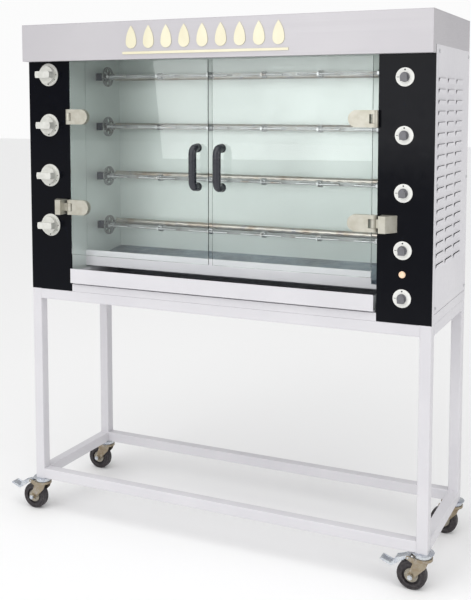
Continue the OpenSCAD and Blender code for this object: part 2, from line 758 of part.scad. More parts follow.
// ---------- Fasteners ----------
module screw_head() cylinder(r = 5, h = 2.4);
module panel_screws() color(zinc) in_body() {
    for (x = [22, body_w / 3, body_w * 2 / 3, body_w - 22], z = [20, body_h - 22])
        translate([x, body_d, z]) rotate([-90, 0, 0]) screw_head();
    for (y = [strip_w + 10, body_d - 14], z = [45, seam_z / 2, seam_z - 18]) {
        translate([0, y, z]) rotate([0, -90, 0]) screw_head();
        translate([body_w, y, z]) rotate([0, 90, 0]) screw_head();
    }
}

stand_frame();
caster_heads();
base_pan();
left_fascia();
right_fascia();
left_side_panel();
right_side_panel();
rear_panel();
top_panel();
header_canopy();
sign_flames();
cavity_side_walls();
back_wall();
ceiling_panel();
cavity_floor();
sill();
burner_tubes();
gas_train();
gearmotors();
spit_bearings();
tap_bezels();
switch_housings();
indicator_lamp();
hinge_brackets();
cable_gland();
panel_screws();
spit(0);  // spit_1
spit(1);  // spit_2
spit(2);  // spit_3
spit(3);  // spit_4
spit_forks(0);  // spit_forks_1
spit_forks(1);  // spit_forks_2
spit_forks(2);  // spit_forks_3
spit_forks(3);  // spit_forks_4
tap_knob(0);  // tap_knob_1
tap_knob(1);  // tap_knob_2
tap_knob(2);  // tap_knob_3
tap_knob(3);  // tap_knob_4
switch_knob(0);  // switch_knob_1
switch_knob(1);  // switch_knob_2
switch_knob(2);  // switch_knob_3
switch_knob(3);  // switch_knob_4
switch_knob(4);  // switch_knob_5
left_door_glass();
right_door_glass();
left_door_clamps();
right_door_clamps();
left_door_handle();
right_door_handle();
drip_tray();
caster_fork(0);  // caster_fork_fl
caster_fork(1);  // caster_fork_fr
caster_fork(2);  // caster_fork_rl
caster_fork(3);  // caster_fork_rr
caster_wheel(0);  // caster_wheel_fl
caster_wheel(1);  // caster_wheel_fr
caster_wheel(2);  // caster_wheel_rl
caster_wheel(3);  // caster_wheel_rr
brake_pedal(0);  // brake_pedal_fl
brake_pedal(1);  // brake_pedal_fr
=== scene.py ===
"""Four-spit rotisserie oven on a wheeled stand, built up in the order in which it is made."""
import json
import math
import bpy
from mathutils import Matrix, Vector


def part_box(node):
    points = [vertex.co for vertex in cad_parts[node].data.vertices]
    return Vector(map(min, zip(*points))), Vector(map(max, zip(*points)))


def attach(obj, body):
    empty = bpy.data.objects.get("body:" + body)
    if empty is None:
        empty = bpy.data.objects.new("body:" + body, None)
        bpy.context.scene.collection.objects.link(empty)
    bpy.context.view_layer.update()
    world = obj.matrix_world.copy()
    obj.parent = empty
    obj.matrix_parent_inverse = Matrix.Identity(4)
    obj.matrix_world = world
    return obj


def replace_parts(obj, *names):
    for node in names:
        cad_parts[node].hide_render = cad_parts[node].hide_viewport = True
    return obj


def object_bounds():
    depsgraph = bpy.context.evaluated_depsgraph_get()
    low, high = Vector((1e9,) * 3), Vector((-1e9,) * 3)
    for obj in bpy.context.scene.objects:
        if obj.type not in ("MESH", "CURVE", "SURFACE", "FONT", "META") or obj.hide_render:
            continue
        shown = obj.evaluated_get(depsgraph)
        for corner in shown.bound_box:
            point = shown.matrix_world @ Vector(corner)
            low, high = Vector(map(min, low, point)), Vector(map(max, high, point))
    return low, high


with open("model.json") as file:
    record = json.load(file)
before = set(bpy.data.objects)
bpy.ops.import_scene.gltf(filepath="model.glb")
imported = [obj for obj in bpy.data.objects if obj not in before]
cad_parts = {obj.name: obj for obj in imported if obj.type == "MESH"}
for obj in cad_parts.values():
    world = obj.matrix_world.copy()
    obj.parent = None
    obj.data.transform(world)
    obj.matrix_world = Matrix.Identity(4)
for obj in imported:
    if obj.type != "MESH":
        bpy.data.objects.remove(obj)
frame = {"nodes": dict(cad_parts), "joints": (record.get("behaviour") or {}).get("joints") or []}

cad_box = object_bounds()
joints = {joint["name"]: joint for joint in frame["joints"]}
MM = 0.001

# ---- Stand ----------------------------------------------------------------------------
# Four legs of square steel tube with a ring of rails round the top and another round the
# bottom. The rails are welded to the legs, and the whole frame is powder coated white.


def new_finish(name, colour, roughness, metallic=0.0, **sockets):
    """A finish with one plain shader, on which grain and wear are laid afterwards."""
    finish = bpy.data.materials.new(name)
    finish.use_nodes = True
    shader = finish.node_tree.nodes["Principled BSDF"]
    shader.inputs["Base Color"].default_value = (*colour, 1)
    shader.inputs["Roughness"].default_value = roughness
    shader.inputs["Metallic"].default_value = metallic
    for socket, value in sockets.items():
        shader.inputs[socket.replace("_", " ")].default_value = value
    return finish


def grain(finish, scale, stretch=(1, 1, 1), detail=3.0):
    """Noise that is fixed to the piece, drawn out along an axis where a surface is brushed."""
    nodes, links = finish.node_tree.nodes, finish.node_tree.links
    place = nodes.new("ShaderNodeTexCoord")
    drawn_out = nodes.new("ShaderNodeMapping")
    drawn_out.inputs["Scale"].default_value = stretch
    noise = nodes.new("ShaderNodeTexNoise")
    noise.inputs["Scale"].default_value = scale
    noise.inputs["Detail"].default_value = detail
    links.new(place.outputs["Object"], drawn_out.inputs["Vector"])
    links.new(drawn_out.outputs["Vector"], noise.inputs["Vector"])
    return noise.outputs["Fac"]


def between(finish, pattern, low, high, to_low=0.0, to_high=1.0):
    """The pattern's values from low to high, spread over a new range."""
    spread = finish.node_tree.nodes.new("ShaderNodeMapRange")
    finish.node_tree.links.new(pattern, spread.inputs["Value"])
    for socket, value in (("From Min", low), ("From Max", high),
                          ("To Min", to_low), ("To Max", to_high)):
        spread.inputs[socket].default_value = value
    return spread.outputs["Result"]


def mottle(finish, colour, scale, low, high):
    """Lays a second colour over a finish in soft patches, where a noise passes from low to high."""
    nodes, links = finish.node_tree.nodes, finish.node_tree.links
    share = between(finish, grain(finish, scale), low, high)
    target = nodes["Principled BSDF"].inputs["Base Color"]
    mix = nodes.new("ShaderNodeMixRGB")
    mix.inputs["Color1"].default_value = target.default_value
    if target.is_linked:
        links.new(target.links[0].from_socket, mix.inputs["Color1"])
    mix.inputs["Color2"].default_value = (*colour, 1)
    links.new(share, mix.inputs["Fac"])
    links.new(mix.outputs["Color"], target)


def gloss_from(finish, pattern, low, high):
    """Roughness that wanders between two values with the pattern."""
    target = finish.node_tree.nodes["Principled BSDF"].inputs["Roughness"]
    finish.node_tree.links.new(between(finish, pattern, 0.3, 0.7, low, high), target)


def relief_from(finish, pattern, depth):
    """Raises and sinks the surface with the pattern, by a depth in metres."""
    nodes, links = finish.node_tree.nodes, finish.node_tree.links
    target = nodes["Principled BSDF"].inputs["Normal"]
    bump = nodes.new("ShaderNodeBump")
    bump.inputs["Distance"].default_value = depth
    if target.is_linked:
        links.new(target.links[0].from_socket, bump.inputs["Normal"])
    links.new(pattern, bump.inputs["Height"])
    links.new(bump.outputs["Normal"], target)


def pick(piece):
    """Selects this piece alone, out of edit mode."""
    if bpy.context.mode != "OBJECT":
        bpy.ops.object.mode_set(mode="OBJECT")
    bpy.ops.object.select_all(action="DESELECT")
    piece.select_set(True)
    bpy.context.view_layer.objects.active = piece


def settle(piece, name):
    """Names a new primitive and puts its place, turn and size into its mesh."""
    piece.name = piece.data.name = name
    pick(piece)
    bpy.ops.object.transform_apply(location=True, rotation=True, scale=True)
    return piece


def block(name, low, high):
    """A cube stretched between two corners."""
    bpy.ops.mesh.primitive_cube_add(size=1, location=(Vector(low) + Vector(high)) / 2)
    bpy.context.object.scale = Vector(high) - Vector(low)
    return settle(bpy.context.object, name)


def edit_faces(piece, chosen):
    """Opens the piece with only those faces selected whose middle and normal are chosen."""
    pick(piece)
    bpy.ops.object.mode_set(mode="EDIT")
    bpy.ops.mesh.select_mode(type="FACE")
    bpy.ops.mesh.select_all(action="DESELECT")
    bpy.ops.object.mode_set(mode="OBJECT")
    for face in piece.data.polygons:
        face.select = bool(chosen(face.center, face.normal))
    bpy.ops.object.mode_set(mode="EDIT")


def edit_edges(piece, chosen):
    """Opens the piece with only those edges selected whose two ends are chosen."""
    pick(piece)
    bpy.ops.object.mode_set(mode="EDIT")
    bpy.ops.mesh.select_mode(type="EDGE")
    bpy.ops.mesh.select_all(action="DESELECT")
    bpy.ops.object.mode_set(mode="OBJECT")
    spots = piece.data.vertices
    for edge in piece.data.edges:
        edge.select = bool(chosen(*(spots[i].co for i in edge.vertices)))
    bpy.ops.object.mode_set(mode="EDIT")


def shut():
    """Leaves edit mode."""
    bpy.ops.object.mode_set(mode="OBJECT")


def round_edges(piece, radius, segments=2, sharper_than=30):
    """Rounds every edge that is sharper than an angle in degrees."""
    pick(piece)
    bevel = piece.modifiers.new("edges", "BEVEL")
    bevel.width = radius
    bevel.segments = segments
    bevel.limit_method = "ANGLE"
    bevel.angle_limit = math.radians(sharper_than)
    bpy.ops.object.modifier_apply(modifier=bevel.name)


def join(name, pieces):
    """Makes several pieces one."""
    bpy.ops.object.select_all(action="DESELECT")
    for piece in pieces:
        piece.select_set(True)
    bpy.context.view_layer.objects.active = pieces[0]
    bpy.ops.object.join()
    pieces[0].name = pieces[0].data.name = name
    return pieces[0]


def fit(piece, finish, body="oven"):
    """Shades the piece, gives it its finish and hangs it on the body that carries it."""
    pick(piece)
    bpy.ops.object.shade_smooth_by_angle(angle=math.radians(35))
    flat_faces = piece.modifiers.new("flat_faces", "WEIGHTED_NORMAL")
    flat_faces.keep_sharp = True
    bpy.ops.object.modifier_apply(modifier=flat_faces.name)
    piece.data.materials.clear()
    piece.data.materials.append(finish)
    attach(piece, body)
    return piece


powder_coat = new_finish("white_powder_coat", (0.655, 0.645, 0.67), 0.42)
mottle(powder_coat, (0.61, 0.60, 0.63), 5, 0.35, 0.75)
gloss_from(powder_coat, grain(powder_coat, 60), 0.36, 0.5)
relief_from(powder_coat, grain(powder_coat, 850, detail=1), 0.00012)

TUBE = 35 * MM
TUBE_CORNER = 3 * MM
stand_low, stand_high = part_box("stand_frame")


def square_tube(name, low, high):
    """A length of tube with rounded corners along its longest side."""
    piece = block(name, low, high)
    along = max(range(3), key=lambda i: high[i] - low[i])
    edit_edges(piece, lambda a, b: abs((a - b)[along]) > TUBE)
    bpy.ops.mesh.bevel(offset=TUBE_CORNER, segments=4)
    shut()
    return piece


legs = []
for x in (stand_low.x, stand_high.x - TUBE):
    for y in (stand_low.y, stand_high.y - TUBE):
        legs.append(square_tube("leg", (x, y, stand_low.z), (x + TUBE, y + TUBE, stand_high.z)))
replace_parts(fit(join("stand_legs", legs), powder_coat), "stand_frame")

BEAD = 1.3 * MM
rails, beads = [], []
for z in (stand_low.z, stand_high.z - TUBE):
    for start in (stand_low.y, stand_high.y - TUBE):
        low = Vector((stand_low.x + TUBE, start, z))
        high = Vector((stand_high.x - TUBE, start + TUBE, z + TUBE))
        rails.append(square_tube("rail", low, high))
        for x in (low.x, high.x):
            beads.append(block("bead", (x - BEAD, low.y - BEAD / 2, low.z - BEAD / 2),
                               (x + BEAD, high.y + BEAD / 2, high.z + BEAD / 2)))
    for start in (stand_low.x, stand_high.x - TUBE):
        low = Vector((start, stand_low.y + TUBE, z))
        high = Vector((start + TUBE, stand_high.y - TUBE, z + TUBE))
        rails.append(square_tube("rail", low, high))
        for y in (low.y, high.y):
            beads.append(block("bead", (low.x - BEAD / 2, y - BEAD, low.z - BEAD / 2),
                               (high.x + BEAD / 2, y + BEAD, high.z + BEAD / 2)))
fit(join("stand_rails", rails), powder_coat)
weld_beads = join("stand_weld_beads", beads)
round_edges(weld_beads, BEAD * 0.6, segments=3)
fit(weld_beads, powder_coat)

# ---- Casters --------------------------------------------------------------------------
# Zinc-plated swivel forks with rubber tyres pressed on grey plastic wheels. The round head
# is screwed into the leg's foot, and a nut on each side holds the axle in the fork.
CORNERS = ("fl", "fr", "rl", "rr")


def dress(node, finish):
    """Gives a CAD piece its finish."""
    for holder in frame["nodes"][node].material_slots:
        holder.material = finish


def softened(node, name, radius, segments=2):
    """A copy of a CAD piece whose edges are rounded, as bending or casting leaves them."""
    piece = frame["nodes"][node].copy()
    piece.data = piece.data.copy()
    piece.parent = None
    for key in [key for key in piece.keys() if key.startswith("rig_")]:
        del piece[key]
    bpy.context.collection.objects.link(piece)
    piece.name = piece.data.name = name
    pick(piece)
    bpy.ops.object.mode_set(mode="EDIT")
    bpy.ops.mesh.select_all(action="SELECT")
    bpy.ops.mesh.remove_doubles(threshold=0.00001)
    bpy.ops.mesh.customdata_custom_splitnormals_clear()
    bpy.ops.mesh.dissolve_limited(angle_limit=math.radians(0.5))
    shut()
    round_edges(piece, radius, segments)
    return piece


def copy_to(piece, name, shift):
    """A copy with its own mesh, moved within the mesh."""
    other = piece.copy()
    other.data = piece.data.copy()
    other.name = other.data.name = name
    bpy.context.collection.objects.link(other)
    other.data.transform(Matrix.Translation(shift))
    return other


def rod(name, centre, radius, length, along="Y", sides=48):
    """A cylinder lying along an axis."""
    turn = {"X": (0, math.pi / 2, 0), "Y": (math.pi / 2, 0, 0), "Z": (0, 0, 0)}[along]
    bpy.ops.mesh.primitive_cylinder_add(vertices=sides, radius=radius, depth=length,
                                        location=centre, rotation=turn)
    return settle(bpy.context.object, name)


def step_in(*steps):
    """Insets the selected faces again and again: each step is a width and a depth in mm."""
    for width, depth in steps:
        bpy.ops.mesh.inset(thickness=width * MM, depth=depth * MM)


tyre_rubber = new_finish("tyre_rubber", (0.022, 0.018, 0.021), 0.5)
mottle(tyre_rubber, (0.06, 0.052, 0.052), 120, 0.45, 0.8)
gloss_from(tyre_rubber, grain(tyre_rubber, 90), 0.42, 0.7)
relief_from(tyre_rubber, grain(tyre_rubber, 1400, detail=2), 0.0001)

wheel_grey = new_finish("wheel_grey_plastic", (0.36, 0.33, 0.27), 0.5)
mottle(wheel_grey, (0.22, 0.20, 0.16), 160, 0.45, 0.75)
relief_from(wheel_grey, grain(wheel_grey, 900), 0.00008)

bright_zinc = new_finish("bright_zinc", (0.62, 0.65, 0.68), 0.28, metallic=0.9)
mottle(bright_zinc, (0.42, 0.45, 0.52), 45, 0.45, 0.7)
gloss_from(bright_zinc, grain(bright_zinc, 200), 0.2, 0.4)
relief_from(bright_zinc, grain(bright_zinc, 700), 0.00004)

yellow_zinc = new_finish("yellow_zinc", (0.36, 0.31, 0.23), 0.34, metallic=0.85)
mottle(yellow_zinc, (0.27, 0.21, 0.14), 30, 0.4, 0.7)
mottle(yellow_zinc, (0.44, 0.41, 0.37), 75, 0.5, 0.8)
gloss_from(yellow_zinc, grain(yellow_zinc, 180), 0.26, 0.46)
relief_from(yellow_zinc, grain(yellow_zinc, 700), 0.00005)

hub = Vector(joints["wheel_fl_roll"]["pos_m"])
wheel_low, wheel_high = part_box("caster_wheel_fl")
wheel_radius = (wheel_high.z - wheel_low.z) / 2
TYRE_WIDTH = 28 * MM
TYRE_WALL = 14 * MM
TYRE_CORNER = 6 * MM
BOSS_RADIUS = 20.5 * MM
NUT_RADIUS = 8 * MM
ACROSS_NUTS = 62 * MM
FORK_CORNER = 0.9 * MM


def from_hub(point):
    """Distance of a point from the wheel's axis."""
    return math.hypot(point.x - hub.x, point.z - hub.z)


tyre = rod("tyre", hub, wheel_radius, TYRE_WIDTH, sides=72)
edit_faces(tyre, lambda middle, normal: abs(normal.y) > 0.9)
step_in((TYRE_WALL / MM, 0))
bpy.ops.mesh.delete(type="FACE")
bpy.ops.mesh.select_mode(type="EDGE")
bpy.ops.mesh.select_non_manifold(extend=False)
bpy.ops.mesh.bridge_edge_loops()
edit_edges(tyre, lambda a, b: min(from_hub(a), from_hub(b)) > wheel_radius - MM
           and abs(a.y - b.y) < MM)
bpy.ops.mesh.bevel(offset=TYRE_CORNER, segments=5)
edit_faces(tyre, lambda middle, normal: abs(normal.y) > 0.95)
step_in((1.2, 0), (0.6, -0.8), (2.0, 0), (0.6, 0.8))
shut()

rim = rod("rim", hub, wheel_radius - TYRE_WALL + 0.3 * MM, TYRE_WIDTH - 5 * MM, sides=64)
edit_faces(rim, lambda middle, normal: abs(normal.y) > 0.9)
step_in((1.4, 0), (0.8, -3.5), (6.5, 0))
shut()
round_edges(rim, 0.3 * MM)

boss = rod("boss", hub, BOSS_RADIUS, TYRE_WIDTH - 2 * MM, sides=64)
edit_faces(boss, lambda middle, normal: abs(normal.y) > 0.9)
step_in((1.6, 0), (0.8, -1.4), (7.5, 0), (0.8, 2.6))
shut()
round_edges(boss, 0.5 * MM)

axle_nut = rod("axle_nut", hub, NUT_RADIUS, ACROSS_NUTS, sides=6)
edit_faces(axle_nut, lambda middle, normal: abs(normal.y) > 0.9)
step_in((2.6, 0), (0.4, 2.0), (0.8, 0.8))
shut()
round_edges(axle_nut, 0.5 * MM)

for corner in CORNERS:
    shift = Vector(joints[f"wheel_{corner}_roll"]["pos_m"]) - hub
    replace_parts(fit(copy_to(tyre, f"tyre_{corner}", shift), tyre_rubber,
                    f"wheel_{corner}"), f"caster_wheel_{corner}")
    fit(copy_to(rim, f"wheel_rim_{corner}", shift), tyre_rubber, f"wheel_{corner}")
    fit(copy_to(boss, f"wheel_boss_{corner}", shift), wheel_grey, f"wheel_{corner}")
    fit(copy_to(axle_nut, f"axle_nuts_{corner}", shift), bright_zinc, f"caster_{corner}")
    fork = softened(f"caster_fork_{corner}", f"fork_{corner}", FORK_CORNER)
    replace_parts(fit(fork, yellow_zinc, f"caster_{corner}"), f"caster_fork_{corner}")
for part in (tyre, rim, boss, axle_nut):
    bpy.data.objects.remove(part)
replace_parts(fit(softened("caster_heads", "swivel_heads", 1.2 * MM), bright_zinc),
            "caster_heads")

# ---- Brake pedals ---------------------------------------------------------------------
# The two front casters have a pressed-steel pedal. Its housing is hinged over the tyre and
# open at its lower end, and a dished lip is trodden down there to lock the wheel.
LIP_LENGTH = 33 * MM
for corner in CORNERS[:2]:
    pedal = softened(f"brake_pedal_{corner}", f"pedal_{corner}", 1.2 * MM, 3)
    lip_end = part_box(f"brake_pedal_{corner}")[0].x + LIP_LENGTH
    # The housing's open lower end, its top, and the tread of the lip
    edit_faces(pedal, lambda middle, normal: middle.x > lip_end
               and -0.90 < normal.x < -0.84 and normal.z > 0.45)
    step_in((2.5, 0), (0.6, -6))
    edit_faces(pedal, lambda middle, normal: middle.x > lip_end
               and -0.37 < normal.x < -0.31 and normal.z > 0.92)
    step_in((5, 0), (1.5, -1.6))
    edit_faces(pedal, lambda middle, normal: middle.x < lip_end
               and 0.29 < normal.x < 0.36 and normal.z > 0.93)
    step_in((3, 0), (1.0, -1.2))
    shut()
    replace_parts(fit(pedal, bright_zinc, f"pedal_{corner}"), f"brake_pedal_{corner}")

# ---- Casing ---------------------------------------------------------------------------
# Folded sheet, powder coated white: a base pan bolted to the stand, two louvred side panels
# and a rear panel, held by screws with a round recess in the head.
for node in ("base_pan", "left_side_panel", "right_side_panel", "rear_panel"):
    dress(node, powder_coat)

screw_steel = new_finish("screw_steel", (0.60, 0.61, 0.62), 0.3, metallic=0.95)
relief_from(screw_steel, grain(screw_steel, 900), 0.00004)
mottle(screw_steel, (0.45, 0.46, 0.48), 250, 0.45, 0.7)
screw_low, screw_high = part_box("panel_screws")
screws = softened("panel_screws", "casing_screws", 1.0 * MM, 3)
SKIN = 0.1 * MM
edit_faces(screws, lambda middle, normal:
           normal.y > 0.99 and middle.y > screw_high.y - SKIN
           or abs(normal.x) > 0.99 and not screw_low.x + SKIN < middle.x < screw_high.x - SKIN)
step_in((1.4, 0), (0.4, -1.1))
shut()
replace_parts(fit(screws, screw_steel), "panel_screws")

# ---- Header ---------------------------------------------------------------------------
# A folded canopy of satin sheet that runs across the whole front and back along both sides,
# with the top sheet laid into it.
satin_sheet = new_finish("satin_sheet", (0.52, 0.505, 0.525), 0.42, metallic=0.25)
mottle(satin_sheet, (0.485, 0.47, 0.495), 3, 0.35, 0.7)
gloss_from(satin_sheet, grain(satin_sheet, 40, stretch=(0.05, 1, 12)), 0.36, 0.5)
relief_from(satin_sheet, grain(satin_sheet, 60, stretch=(0.04, 1, 14), detail=4), 0.00004)
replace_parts(fit(softened("header_canopy", "header", 0.6 * MM), satin_sheet),
            "header_canopy")
dress("top_panel", satin_sheet)

# ---- Sign -----------------------------------------------------------------------------
# A row of plain flames over a long bar, cut from cream acrylic and glued to the header.
cream_acrylic = new_finish("cream_acrylic", (0.77, 0.73, 0.54), 0.25, Coat_Weight=0.3)
mottle(cream_acrylic, (0.72, 0.67, 0.48), 12, 0.4, 0.7)
relief_from(cream_acrylic, grain(cream_acrylic, 220), 0.00004)
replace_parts(fit(softened("sign_flames", "flame_sign", 0.5 * MM), cream_acrylic),
            "sign_flames")

# ---- Control panels -------------------------------------------------------------------
# Two glossy black panels, screen printed and lacquered, that cover the columns.
gloss_black = new_finish("gloss_black", (0.0008, 0.0012, 0.0035), 0.14, Specular_IOR_Level=0.12)
gloss_from(gloss_black, grain(gloss_black, 25), 0.08, 0.2)
relief_from(gloss_black, grain(gloss_black, 14), 0.00003)
for node in ("left_fascia", "right_fascia"):
    dress(node, gloss_black)

# ---- Cavity ---------------------------------------------------------------------------
# Bright stainless sheet round the spits, so that it throws the heat back, a sloping floor darkened
# with painted shade, with a white sill in front of it, and iron bearings fixed to the left-hand
# wall.
bright_sheet = new_finish("bright_sheet", (0.66, 0.71, 0.69), 0.34, metallic=0.3)
mottle(bright_sheet, (0.59, 0.64, 0.62), 2.5, 0.35, 0.7)
gloss_from(bright_sheet, grain(bright_sheet, 8), 0.3, 0.42)
relief_from(bright_sheet, grain(bright_sheet, 12, detail=1), 0.00004)
for node in ("cavity_side_walls", "back_wall", "ceiling_panel"):
    dress(node, bright_sheet)

# The floor's dark blue-grey colour and its darker patches are painted shade: plain steel that lies
# in shade, drawn dark.
painted_shade_floor_sheet = new_finish("painted_shade_floor_sheet", (0.20, 0.24, 0.29), 0.38, metallic=0.7)
mottle(painted_shade_floor_sheet, (0.12, 0.13, 0.15), 9, 0.45, 0.75)
gloss_from(painted_shade_floor_sheet, grain(painted_shade_floor_sheet, 35), 0.28, 0.5)
relief_from(painted_shade_floor_sheet, grain(painted_shade_floor_sheet, 300), 0.00004)
dress("cavity_floor", painted_shade_floor_sheet)

bearing_iron = new_finish("bearing_iron", (0.035, 0.042, 0.06), 0.42, metallic=0.5)
mottle(bearing_iron, (0.06, 0.055, 0.055), 60, 0.5, 0.75)
relief_from(bearing_iron, grain(bearing_iron, 500), 0.00008)
dress("spit_bearings", bearing_iron)
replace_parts(fit(softened("sill", "cavity_sill", 0.4 * MM), powder_coat), "sill")

# ---- Burners and gas ------------------------------------------------------------------
# Four slotted stainless burner tubes behind the spits, each fed by its own pipe from a brass
# tap. The taps sit on one manifold, which leaves the casing at the back.
burner_steel = new_finish("burner_steel", (0.50, 0.47, 0.43), 0.36, metallic=0.9)
mottle(burner_steel, (0.34, 0.24, 0.16), 14, 0.5, 0.75)
mottle(burner_steel, (0.22, 0.25, 0.38), 22, 0.58, 0.8)
relief_from(burner_steel, grain(burner_steel, 400), 0.00004)
dress("burner_tubes", burner_steel)

plain_brass = new_finish("plain_brass", (0.62, 0.44, 0.18), 0.32, metallic=0.95)
mottle(plain_brass, (0.40, 0.27, 0.11), 40, 0.45, 0.75)
relief_from(plain_brass, grain(plain_brass, 500), 0.00005)
dress("gas_train", plain_brass)

# ---- Gearmotors and inlet -------------------------------------------------------------
# Four grey enamelled gearmotors behind the right-hand wall, each with a hollow output that
# a spit plugs into, and a black nylon gland for the supply cable in the rear panel.
motor_enamel = new_finish("motor_enamel", (0.16, 0.17, 0.19), 0.4)
mottle(motor_enamel, (0.11, 0.12, 0.13), 60, 0.45, 0.7)
relief_from(motor_enamel, grain(motor_enamel, 260), 0.0002)
dress("gearmotors", motor_enamel)

black_nylon = new_finish("black_nylon", (0.02, 0.02, 0.022), 0.5)
gloss_from(black_nylon, grain(black_nylon, 150), 0.4, 0.6)
relief_from(black_nylon, grain(black_nylon, 900), 0.0001)
dress("cable_gland", black_nylon)

# ---- Spits ----------------------------------------------------------------------------
# Square stainless bars that lift out, each with a perforated disc near the left end and six
# double forks, clamped where they are wanted by a wing screw.
spit_steel = new_finish("spit_steel", (0.50, 0.51, 0.52), 0.3, metallic=0.95)
mottle(spit_steel, (0.30, 0.22, 0.16), 26, 0.55, 0.8)
gloss_from(spit_steel, grain(spit_steel, 90, stretch=(0.1, 1, 1)), 0.22, 0.42)
relief_from(spit_steel, grain(spit_steel, 500), 0.00005)
bar_steel = new_finish("bar_steel", (0.27, 0.28, 0.28), 0.32, metallic=0.9)
mottle(bar_steel, (0.16, 0.13, 0.10), 26, 0.55, 0.8)
gloss_from(bar_steel, grain(bar_steel, 90, stretch=(0.1, 1, 1)), 0.24, 0.44)
relief_from(bar_steel, grain(bar_steel, 500), 0.00005)
for n in range(1, 5):
    dress(f"spit_{n}", bar_steel)
    dress(f"spit_forks_{n}", spit_steel)

FORKS_ON_BAR = 6
HUB_LENGTH = 14 * MM
HUB_RADIUS = 11 * MM
HALF_SPAN = 9
WING_START = 9
WING_END = 17
for n in range(1, 5):
    forks_low, forks_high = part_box(f"spit_forks_{n}")
    first = forks_low.x + HUB_LENGTH / 2
    step = (forks_high.x - forks_low.x - HUB_LENGTH) / (FORKS_ON_BAR - 1)
    axis = Vector(joints[f"spit_{n}_turn"]["pos_m"])
    wing_screws = []
    for k in range(FORKS_ON_BAR):
        foot = Vector((first + k * step, axis.y - HUB_RADIUS + 2 * MM, axis.z))
        shank = rod("shank", foot - Vector((0, 5, 0)) * MM, 2.5 * MM, 10 * MM, sides=20)
        collar = rod("collar", foot - Vector((0, 8, 0)) * MM, 4 * MM, 4 * MM, sides=20)
        round_edges(collar, 0.8 * MM)
        wings = block("wings", foot + Vector((-HALF_SPAN, -WING_END, -1)) * MM,
                      foot + Vector((HALF_SPAN, -WING_START, 1)) * MM)
        edit_faces(wings, lambda middle, normal: abs(normal.x) > 0.9)
        bpy.ops.transform.resize(value=(1, 0.55, 1), center_override=foot - Vector((0, 15, 0)) * MM)
        shut()
        round_edges(wings, 0.8 * MM)
        wing_screws += [shank, collar, wings]
    fit(join(f"wing_screws_{n}", wing_screws), screw_steel, f"spit_{n}")

# ---- Doors ----------------------------------------------------------------------------
# Two frameless doors of toughened glass. Each hangs on two cast clamps, which turn on pins in
# the fixed brackets, and has a bent bar handle screwed through the glass.
door_glass = new_finish("door_glass", (0.965, 0.99, 0.98), 0.0, IOR=1.45, Transmission_Weight=1.0)
nodes, links = door_glass.node_tree.nodes, door_glass.node_tree.links
lamp_rays = nodes.new("ShaderNodeLightPath")
clear = nodes.new("ShaderNodeBsdfTransparent")
clear.inputs["Color"].default_value = (0.96, 0.985, 0.975, 1)
passing = nodes.new("ShaderNodeMixShader")
links.new(lamp_rays.outputs["Is Shadow Ray"], passing.inputs["Fac"])
links.new(nodes["Principled BSDF"].outputs["BSDF"], passing.inputs[1])
links.new(clear.outputs["BSDF"], passing.inputs[2])
links.new(passing.outputs["Shader"], nodes["Material Output"].inputs["Surface"])
gloss_from(door_glass, grain(door_glass, 6), 0.0, 0.012)

cast_satin = new_finish("cast_satin", (0.52, 0.505, 0.44), 0.38, metallic=0.6)
mottle(cast_satin, (0.44, 0.42, 0.35), 50, 0.4, 0.7)
relief_from(cast_satin, grain(cast_satin, 900), 0.00008)

dark_bakelite = new_finish("dark_handle", (0.012, 0.014, 0.022), 0.3, Coat_Weight=0.25)
gloss_from(dark_bakelite, grain(dark_bakelite, 80), 0.22, 0.4)
relief_from(dark_bakelite, grain(dark_bakelite, 500), 0.00005)

for side in ("left", "right"):
    pane = softened(f"{side}_door_glass", f"{side}_pane", 0.7 * MM, 1)
    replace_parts(fit(pane, door_glass, f"{side}_door"), f"{side}_door_glass")
    clamps = softened(f"{side}_door_clamps", f"{side}_clamps", 1.0 * MM)
    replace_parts(fit(clamps, cast_satin, f"{side}_door"), f"{side}_door_clamps")
    handle = softened(f"{side}_door_handle", f"{side}_handle", 0.8 * MM)
    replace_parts(fit(handle, dark_bakelite, f"{side}_door"), f"{side}_door_handle")
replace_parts(fit(softened("hinge_brackets", "hinge_blocks", 0.8 * MM), cast_satin),
            "hinge_brackets")

# ---- Gas tap knobs --------------------------------------------------------------------
# Silver-white moulded knobs, pushed on the tap spindles in front of turned bezels. The bar
# across each knob points left when the gas is off.
knob_silver = new_finish("knob_silver", (0.70, 0.70, 0.66), 0.3, metallic=0.25)
mottle(knob_silver, (0.60, 0.60, 0.56), 50, 0.4, 0.7)
relief_from(knob_silver, grain(knob_silver, 900), 0.00004)
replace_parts(fit(softened("tap_bezels", "bezels", 0.8 * MM, 3), knob_silver),
            "tap_bezels")
for n in range(1, 5):
    knob = softened(f"tap_knob_{n}", f"gas_knob_{n}", 2.2 * MM, 4)
    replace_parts(fit(knob, knob_silver, f"tap_knob_{n}"), f"tap_knob_{n}")

print_black = new_finish("printed_mark", (0.012, 0.012, 0.014), 0.45)
gloss_from(print_black, grain(print_black, 400), 0.38, 0.55)


def printed_dot(centre, radius):
    """A dot of thick ink with a soft edge, on a face that looks forward."""
    dot = rod("dot", centre, radius, 0.6 * MM, sides=24)
    round_edges(dot, 0.2 * MM)
    return dot


MARK_RING = 32 * MM
tap_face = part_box("tap_bezels")[0].y
tap_marks = []
for n in range(1, 5):
    tap = Vector(joints[f"tap_{n}_turn"]["pos_m"])
    for angle, radius in ((0, 1.7), (-32, 1.7), (-90, 2.4)):
        turn = math.radians(angle)
        spot = Vector((tap.x + MARK_RING * math.cos(turn), tap_face,
                       tap.z + MARK_RING * math.sin(turn)))
        tap_marks.append(printed_dot(spot, radius * MM))
fit(join("tap_marks", tap_marks), print_black)

